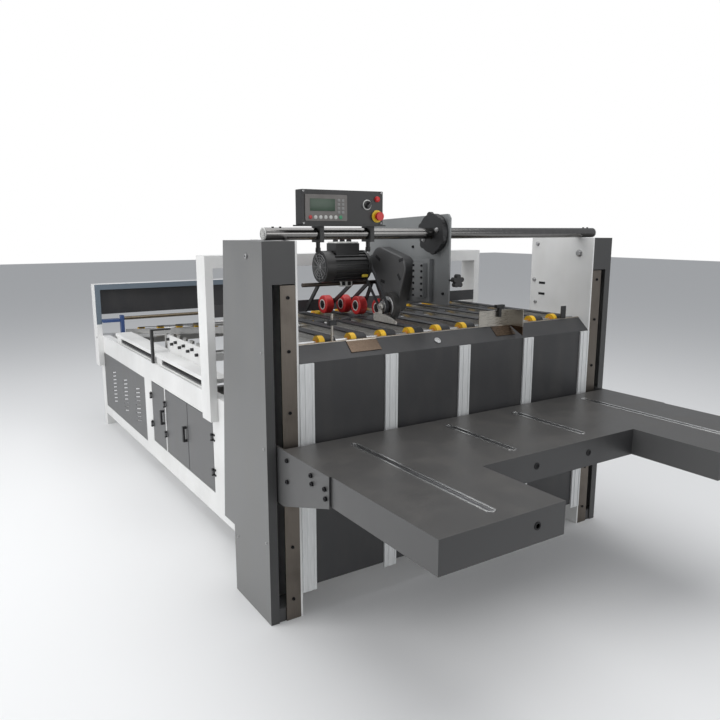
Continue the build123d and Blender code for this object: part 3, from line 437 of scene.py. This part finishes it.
# painted shade and painted light: the table's front faces are darkened and its left-facing sides lightened
# against the top
table_way = table_paint.node("ShaderNodeNewGeometry", {}, {}, "Normal")
table_front_shade = table_paint.node("ShaderNodeSeparateXYZ", {}, {0: table_way}, 1) < -0.9
table_side_light = table_paint.node("ShaderNodeSeparateXYZ", {}, {0: table_way}, 0) < -0.9
table_tone = Value(table_paint, table_paint.shader.inputs["Base Color"].links[0].from_socket)
table_tone = table_paint.blend(table_front_shade, table_tone, (0.032, 0.032, 0.033))
table_paint.set("Base Color", table_paint.blend(table_side_light, table_tone, (0.078, 0.078, 0.078)))
table_paint.onto("lift_table", "table_brackets")
liner_steel = steel("liner_steel", (0.78, 0.78, 0.77), 0.2, (60.0, 2.0, 60.0), 0.2)
liner_steel.onto("table_liners")
bearing_steel = steel("bearing_steel", (0.5, 0.5, 0.5), 0.3, (10.0, 40.0, 40.0), 0.3)
bearing_steel.onto("bracket_bearings", "belt_shafts", "drive_pulleys")

bracket_bolts = Shape()
for side in (-1, 1):
    for back, h in ((-258, 680), (-264, 652), (-351, 662), (-356, 630), (-80, 680), (-80, 600)):
        cap_screw(bracket_bolts, (side * 893, back, h), (side, 0, 0), 8.5, 0.45)
bracket_bolts.done("bracket_bolts", black_screw, "feed_table")

# The grommets are black rubber; the black disc that closes each one is painted shade in the hole.
skirt_holes = Shape()
for x, back in ((-140, -565), (140, -565), (-520, -923)):
    skirt_holes.turned(
        (x, back, 660), (0, -1, 0), [(0, 13), (1.5, 13), (2.2, 11.5), (2.2, 8), (-0.5, 7.6)], 24
    )
skirt_holes.done("skirt_grommets", hole_shade_black, "feed_table")

channel_dark = steel("channel_dark", (0.1, 0.1, 0.105), 0.35)
slot_floor = Shape()
for x, long_end in ((-640, 869), (640, 869), (-187, 503), (187, 503)):
    slot_floor.block((x - 9.5, -long_end + 8, 707.2), (x + 9.5, -123, 708.2), 0.2)
slot_floor.done("liner_channels", channel_dark, "feed_table")

# Polished shaft across the posts, hard chromed bar that lies on the side plates, with pale end caps
# and a row of set screws where the head and the control box are clamped.
shaft_chrome = steel("shaft_chrome", (0.20, 0.195, 0.19), 0.14, (60.0, 2.0, 2.0), 0.1)
shaft_chrome.onto("top_shaft")
pale_cap = plastic("pale_cap", (0.62, 0.62, 0.6), 0.4)
shaft_caps = Shape()
for side in (-1, 1):
    shaft_caps.turned(
        (side * 886, 85, 1478.8), (side, 0, 0), [(0, 22.4), (4.2, 22.4), (5, 21.4)], 32
    )
shaft_caps.done("shaft_caps", pale_cap, "machine")
set_screws = Shape()
for side in (-1, 1):
    for x in (850, 820):
        cap_screw(set_screws, (side * x, 85, 1500.5), (0, 0, 1), 4.5, 0.5)
set_screws.done("shaft_set_screws", black_screw, "machine")

# Control box: a shallow case of black sheet steel on two clamps, with a screen in a grey bezel, flat
# keys, a row of round buttons, a selector and a mushroom stop button with a yellow collar.
box_paint = paint("box_paint", (0.012, 0.012, 0.0125), 0.4, (0.12, 0.11, 0.1), 0.6)
box_paint.onto("control_box", "control_mount", "door_hinges", "gauge_stand")
bezel_grey = plastic("bezel_grey", (0.15, 0.14, 0.132), 0.5, 0.1)
bezel_grey.onto("display_bezel")
red_button = plastic("red_button", (0.55, 0.02, 0.02), 0.3, 0.1)
red_button.onto("stop_button")

screen = Finish("screen", (0.018, 0.045, 0.025), 0.3)
screen_glow = screen.noise(6.0, 2.0)
screen.set("Base Color", screen.blend(screen_glow, (0.016, 0.04, 0.022), (0.028, 0.062, 0.034)))
screen_pane = Shape()
screen_pane.block((-745, -5.0, 1560), (-642, -4, 1603), 0.4)
screen_pane.done("screen_pane", screen, "machine")

key_grey = plastic("key_grey", (0.22, 0.22, 0.215), 0.45, 0.1)
keys = Shape()
for column in range(2):
    for row in range(4):
        x, h = -626 + column * 17, 1556 + row * 14
        keys.block((x - 6, -5.6, h - 5), (x + 6, -4, h + 5), 0.7)
keys.done("screen_keys", key_grey, "machine")

key_tones = (
    ("red", (0.42, 0.03, 0.03), (-744,)),
    ("pale", (0.5, 0.5, 0.48), (-723, -702, -681, -660, -639)),
    ("green", (0.04, 0.25, 0.12), (-618,)),
)
for tone, colour, places in key_tones:
    button = Shape()
    for x in places:
        button.turned((x, -4, 1538), (0, -1, 0), [(0, 7), (1.2, 7), (2.0, 5.6)], 20)
    button.done(tone + "_keys", plastic(tone + "_key", colour, 0.35, 0.1), "machine")

collar = Shape()
collar.turned((-456, -0.2, 1543), (0, -1, 0), [(0, 23), (2.6, 23), (3.4, 21.5), (3.4, 15)], 32)
collar.done("stop_collar", plastic("collar_yellow", (0.75, 0.5, 0.02), 0.4), "machine")
small_red = Shape()
small_red.turned((-456, 0, 1606), (0, -1, 0), [(0, 11), (3, 11), (4, 9.5), (8, 9.5), (9, 8)], 24)
small_red.done("start_button", red_button, "machine")
dial_ring = Shape()
dial_ring.turned((-500, -0.1, 1585), (0, -1, 0), [(0, 19), (1.2, 19), (1.8, 17.5), (1.8, 15.2)], 32)
dial_ring.done("selector_ring", pale_cap, "machine")

box_screws = Shape()
for x, h in ((-770, 1517), (-437, 1517), (-770, 1629), (-437, 1629)):
    cap_screw(box_screws, (x, 0, h), (0, -1, 0), 3.5, 0.5)
box_screws.done("box_screws", bolt_steel, "machine")
clamp_knobs = Shape()
for x in (-664, -440):
    clamp_knobs.turned(
        (x, 85, 1429.4),
        (0, 0, -1),
        [(0, 6), (2, 9.5), (16, 10.5), (20, 9), (21, 6)],
        20,
    )
clamp_knobs.done("box_clamp_knobs", box_paint, "machine")

# Feed bed: flat dark belts on yellow moulded pulleys, run in bright steel channels with plain sheets
# between them. The long belts behind the portal slope down to the rear on the same pulleys.
bed_steel = steel("bed_steel", (0.52, 0.51, 0.49), 0.3, (60.0, 1.5, 60.0), 0.35)
bed_steel.onto("belt_channels", "bed_sheets", "transport_beams")
pulley_yellow = plastic("pulley_yellow", (0.80, 0.47, 0.01), 0.4, 0.3)
pulley_yellow.onto("belt_pulleys")
belt_rubber = Finish("belt_rubber", (0.02, 0.021, 0.023), 0.6)
belt_weave = belt_rubber.noise(260.0, 2.0, (1.0, 0.4, 1.0))
belt_scuff = belt_rubber.noise(7.0, 5.0, (6.0, 0.6, 1.0), 0.45, 0.8)
belt_tone = belt_rubber.blend(belt_scuff * 0.6, (0.016, 0.017, 0.02), (0.05, 0.048, 0.046))
belt_rubber.set("Base Color", belt_tone)
belt_rubber.set("Roughness", 0.45 + belt_weave * 0.2)
belt_rubber.relief(belt_weave, 0.00015, 0.0008)
belt_rubber.onto("feed_belts", "transport_belts", "drive_belt")

feed_belt_xs = [39 + 145 * (i + 0.5) for i in range(-5, 5)]
hub_orange = plastic("hub_orange", (0.62, 0.24, 0.01), 0.45, 0.3)
hubs = Shape()
for belt_x in feed_belt_xs:
    for back in (109, 915):
        hub_face = belt_x - 51
        profile = [(-0.5, 17), (1.5, 17), (2.5, 15.5), (2.5, 12.5), (4.5, 12), (5.5, 10.6), (5.5, 10.2)]
        hubs.turned((hub_face, back, 1060), (-1, 0, 0), profile, 28)
hubs.done("pulley_hubs", hub_orange, "machine")

# Rim guides: thin sheets bent over the front rim, bright on top and browned on the slope, the gauge
# post with its black clamp and wire, and the fence with its T-handle. They steer the board's edge.
rim_steel = steel("rim_steel", (0.50, 0.47, 0.42), 0.28, (2.0, 40.0, 40.0), 0.2)
rim_place = rim_steel.node("ShaderNodeTexCoord", {}, {}, "Object")
rim_height = rim_steel.node("ShaderNodeSeparateXYZ", {}, {0: rim_place}, 2)
rim_tone = Value(rim_steel, rim_steel.shader.inputs["Base Color"].links[0].from_socket)
rim_brown = rim_steel.blend(rim_height < 1.0655, rim_tone, (0.13, 0.095, 0.07))
rim_steel.set("Base Color", rim_brown)
rim_steel.onto("rim_guides")
black_plastic = plastic("black_plastic", (0.012, 0.012, 0.013), 0.42, 0.3)
black_plastic.onto("rim_knobs", "fold_knobs", "handle_rear", "handle_middle", "star_knob", "plate_clamp")
bronze = steel("bronze", (0.30, 0.21, 0.12), 0.36, (2.0, 40.0, 40.0), 0.3)
trim = Shape()
trim.block((-797, 62.3, 1069.1), (130, 66, 1070.3), 0.2)
trim.block((325, 62.3, 1069.1), (797, 66, 1070.3), 0.2)
trim.done("rim_trim", bronze, "machine")
wire = Shape()
wire.bar(
    [(-616, 64, 1150), (-640, 60, 1150), (-600, 20, 1156), (-560, -4, 1170), (-530, -14, 1176)], 1.6
)
wire.done("gauge_wire", black_plastic, "machine")
angle_bracket = Shape()
angle_bracket.block((664, 58, 1069.2), (698, 62, 1130), 0.5)
angle_bracket.block((664, 58, 1069.2), (698, 74, 1073), 0.5)
angle_bracket.done("rim_bracket", box_paint, "machine")

# Glue head: a grey plate that hangs on the shaft, with its motor, covered drive, glue wheel and red
# press wheels on black arms. The cast and machined parts are bare metal.
plate_grey = paint("plate_grey", (0.20, 0.208, 0.21), 0.34, (0.2, 0.18, 0.16), 0.3)
plate_place = plate_grey.node("ShaderNodeTexCoord", {}, {}, "Object")
plate_height = plate_grey.node("ShaderNodeSeparateXYZ", {}, {0: plate_place}, 2)
plate_shade = plate_grey.node(
    "ShaderNodeMapRange", {"clamp": True}, {"Value": plate_height, "From Min": 1.42, "From Max": 1.22}
)
plate_tone = Value(plate_grey, plate_grey.shader.inputs["Base Color"].links[0].from_socket)
plate_grey.set("Base Color", plate_grey.blend(plate_shade * 0.75, plate_tone, (0.06, 0.06, 0.062)))
plate_grey.onto("glue_plate", "head_brackets")
cover_grey = paint("cover_grey", (0.062, 0.062, 0.063), 0.4, (0.14, 0.13, 0.12), 0.8)
cover_grey.onto("belt_cover")
motor_black = paint("motor_black", (0.012, 0.012, 0.0125), 0.36, (0.1, 0.09, 0.08), 0.8)
motor_black.onto("glue_motor", "wheel_arms")
cast_metal = steel("cast_metal", (0.60, 0.58, 0.54), 0.45, (12.0, 12.0, 12.0), 0.3)
cast_metal.onto("glue_shoe")
rod_brown = steel("rod_brown", (0.09, 0.075, 0.065), 0.4, (2.0, 30.0, 30.0), 0.4)
rod_brown.onto("arm_rod")
wheel_dark = plastic("wheel_dark", (0.03, 0.029, 0.028), 0.5, 0.4)
wheel_dark.onto("glue_wheel")
wheel_red = plastic("wheel_red", (0.50, 0.02, 0.02), 0.42, 0.4)
wheel_red.onto("press_wheel_1", "press_wheel_2", "press_wheel_3", "press_wheel_4")

rod_block = Shape()
rod_block.block((-311, 504, 1236), (-249, 532, 1264), 1.2)
rod_block.done("rod_block", pale_cap, "glue_head")
# The two recesses are thin black patches on the block's front: painted shade.
block_marks = Shape()
for x in (-296, -266):
    block_marks.block((x - 9, 503.2, 1241), (x + 9, 504.4, 1259), 0.3)
block_marks.done("rod_block_recesses", hole_shade_black, "glue_head")

for i, (face, back) in enumerate(((-291, 712), (-200, 692), (-181, 585), (-156, 440))):
    name = "press_wheel_" + str(i + 1)
    body = "press_wheel_body_" + str(i + 1)
    rim = Shape()
    profile = [(-0.8, 25), (0.8, 25), (1.2, 24), (1.2, 21), (-0.8, 20.5)]
    rim.turned((face, back, 1135), (-1, 0, 0), profile, 40)
    rim.done(name + "_ring", pale_cap, body)
    core = Shape()
    core.turned((face, back, 1135), (-1, 0, 0), [(-0.6, 20.4), (0.5, 20.4), (0.9, 18), (0.4, 10)], 40)
    core.done(name + "_core", black_plastic, body)

glue_ring = Shape()
profile = [(-0.6, 46), (0.8, 46), (1.4, 44), (1.4, 30), (-0.6, 28)]
glue_ring.turned((-181, 318, 1155), (-1, 0, 0), profile, 48)
glue_ring.done("glue_wheel_ring", bolt_steel, "glue_wheel_body")

grille = Shape()
for ring in (18, 30, 42, 54):
    points = [
        (-442.5, 468 + ring * math.cos(a * math.pi / 12), 1332 + ring * math.sin(a * math.pi / 12))
        for a in range(25)
    ]
    grille.bar(points, 2.2, 6)
for a in range(12):
    across, up = math.cos(a * math.pi / 6), math.sin(a * math.pi / 6)
    grille.bar(
        [(-442.5, 468 + 10 * across, 1332 + 10 * up), (-442.5, 468 + 60 * across, 1332 + 60 * up)],
        2.0,
        6,
    )
grille.turned((-441, 468, 1332), (-1, 0, 0), [(0, 13), (3, 13), (4, 11)], 24)
grille_grey = steel("grille_grey", (0.16, 0.16, 0.16), 0.4, (8.0, 8.0, 8.0))
grille.done("fan_grille", grille_grey, "glue_head")
# A black disc behind the grille stands for the fan opening: painted shade.
fan_dark = Shape()
fan_dark.turned((-441, 468, 1332), (-1, 0, 0), [(-0.5, 62), (0.6, 62), (0.9, 60)], 48)
fan_dark.done("fan_opening", hole_shade_black, "glue_head")

terminal = Shape()
terminal.block((-377, 427, 1434.2), (-265, 509, 1441), 1.5)
terminal.done("terminal_lid", pale_cap, "glue_head")
terminal_nuts = Shape()
for x in (-360, -325, -290):
    terminal_nuts.turned((x, 468, 1441), (0, 0, 1), [(0, 12), (10, 11), (13, 6), (18, 6)], 16)
terminal_nuts.done("terminal_glands", black_plastic, "glue_head")
motor_patch = Shape()
motor_patch.block((-262, 398.5, 1284), (-232, 404, 1296), 0.4)
motor_patch.done("motor_patch", plastic("patch_yellow", (0.45, 0.33, 0.02), 0.5), "glue_head")

clamp_nut = Shape()
hex_bolt(clamp_nut, (-127.2, 85 - 40, 1478.8 + 14), (-1, 0, 0), 8)
hex_bolt(clamp_nut, (-127.2, 85 + 46, 1478.8 - 26), (-1, 0, 0), 8)
clamp_nut.done("plate_clamp_bolts", bolt_steel, "glue_head")

head_screws = Shape()
for back, h in ((30, 1230), (560, 1370), (240, 1420)):
    cap_screw(head_screws, (-99, back, h), (-1, 0, 0), 6, 0.5)
for h in (1222, 1248, 1274, 1300, 1326, 1350):
    for back in (126, 182):
        cap_screw(head_screws, (-139, back, h - 6), (-1, 0, 0), 5, 0.5)
head_screws.done("head_screws", black_screw, "glue_head")

# The slots in the belt cover are thin black patches: painted shade.
cover_slots = Shape()
for back, h, long, lean in (
    (440, 1366, 20, 0.5), (261, 1363, 16, -0.3), (274, 1288, 16, 0.9), (400, 1261, 16, 0.2)
):
    turn = Matrix.Rotation(lean, 3, "X")
    cover_slots.block((-150.6, back - long, h - 7), (-149.8, back + long, h + 7), 0.3, turn)
cover_slots.done("cover_slots", hole_shade_black, "glue_head")

# Three cabinet doors on the left, with black hinges and bar handles, and the louvred panels behind
# them. All are folded sheet in a mid grey paint, set flush in the white frame.
door_paint = paint("door_paint", (0.115, 0.116, 0.118), 0.46, (0.3, 0.28, 0.24), 0.3)
door_paint.onto("side_covers", "door_rear", "door_middle", "door_front")

# Rear frame: a white folded frame whose front face still wears its blue-grey film on the left and
# top, with a dark panel and a bronzed cross roller in blue bearing blocks.
frame_film = paint("frame_film", WHITE, 0.42, (0.45, 0.42, 0.36), 0.15)
film_way = frame_film.node("ShaderNodeNewGeometry", {}, {}, "Normal")
film_front = frame_film.node("ShaderNodeSeparateXYZ", {}, {0: film_way}, 1) < -0.9
film_place = frame_film.node("ShaderNodeTexCoord", {}, {}, "Object")
film_x = frame_film.node("ShaderNodeSeparateXYZ", {}, {0: film_place}, 0)
film_h = frame_film.node("ShaderNodeSeparateXYZ", {}, {0: film_place}, 2)
film_mask = film_front * (film_h > 0.79) * (film_x < 0.35)
film_tone = Value(frame_film, frame_film.shader.inputs["Base Color"].links[0].from_socket)
frame_film.set("Base Color", frame_film.blend(film_mask, film_tone, (0.13, 0.165, 0.20)))
frame_film.onto("rear_frame")
roller_bronze = steel("roller_bronze", (0.17, 0.14, 0.10), 0.4, (2.0, 30.0, 30.0), 0.3)
roller_bronze.onto("rear_roller")
bearing_blue = paint("bearing_blue", (0.03, 0.07, 0.20), 0.4, (0.25, 0.22, 0.2), 0.3)
bearing_blue.onto("rear_bearings")
# The hole is a black disc on the frame: painted shade.
frame_hole = Shape()
frame_hole.turned((-836, 3206, 690), (-1, 0, 0), [(-0.5, 8), (0.6, 8), (0.8, 7)], 20)
frame_hole.done("frame_hole", hole_shade_black, "machine")

# Deck ledges: black rods lie in the slots of the side walls, where the folding guides are shifted.
# The white guides carry rows of small bright blocks on top.
slot_rods = Shape()
for side in (-1, 1):
    for b0, b1 in ((1080, 1765), (1960, 2700)):
        slot_rods.bar([(side * 768, b0 + 4, 722), (side * 768, b1 - 4, 722)], 8, 14)
slot_rods.done("ledge_rods", black_plastic, "machine")

# Thin black sheets at the backs of the slots: painted shade inside them.
slot_backs = Shape()
for side in (-1, 1):
    for b0, b1 in ((1080, 1765), (1960, 2700)):
        low = (min(side * 751, side * 753), b0 + 1, 712)
        high = (max(side * 751, side * 753), b1 - 1, 741)
        slot_backs.block(low, high, 0.2)
slot_backs.done("ledge_slot_backs", hole_shade_black, "machine")

guide_trims = Shape()
for side in (-1, 1):
    for i in range(5):
        back = 1390 + i * 110
        low = (min(side * 690, side * 676), back - 22, 868)
        high = (max(side * 690, side * 676), back + 22, 884)
        guide_trims.block(low, high, 1.0)
guide_trims.done("fold_guide_blocks", bed_steel, "machine")
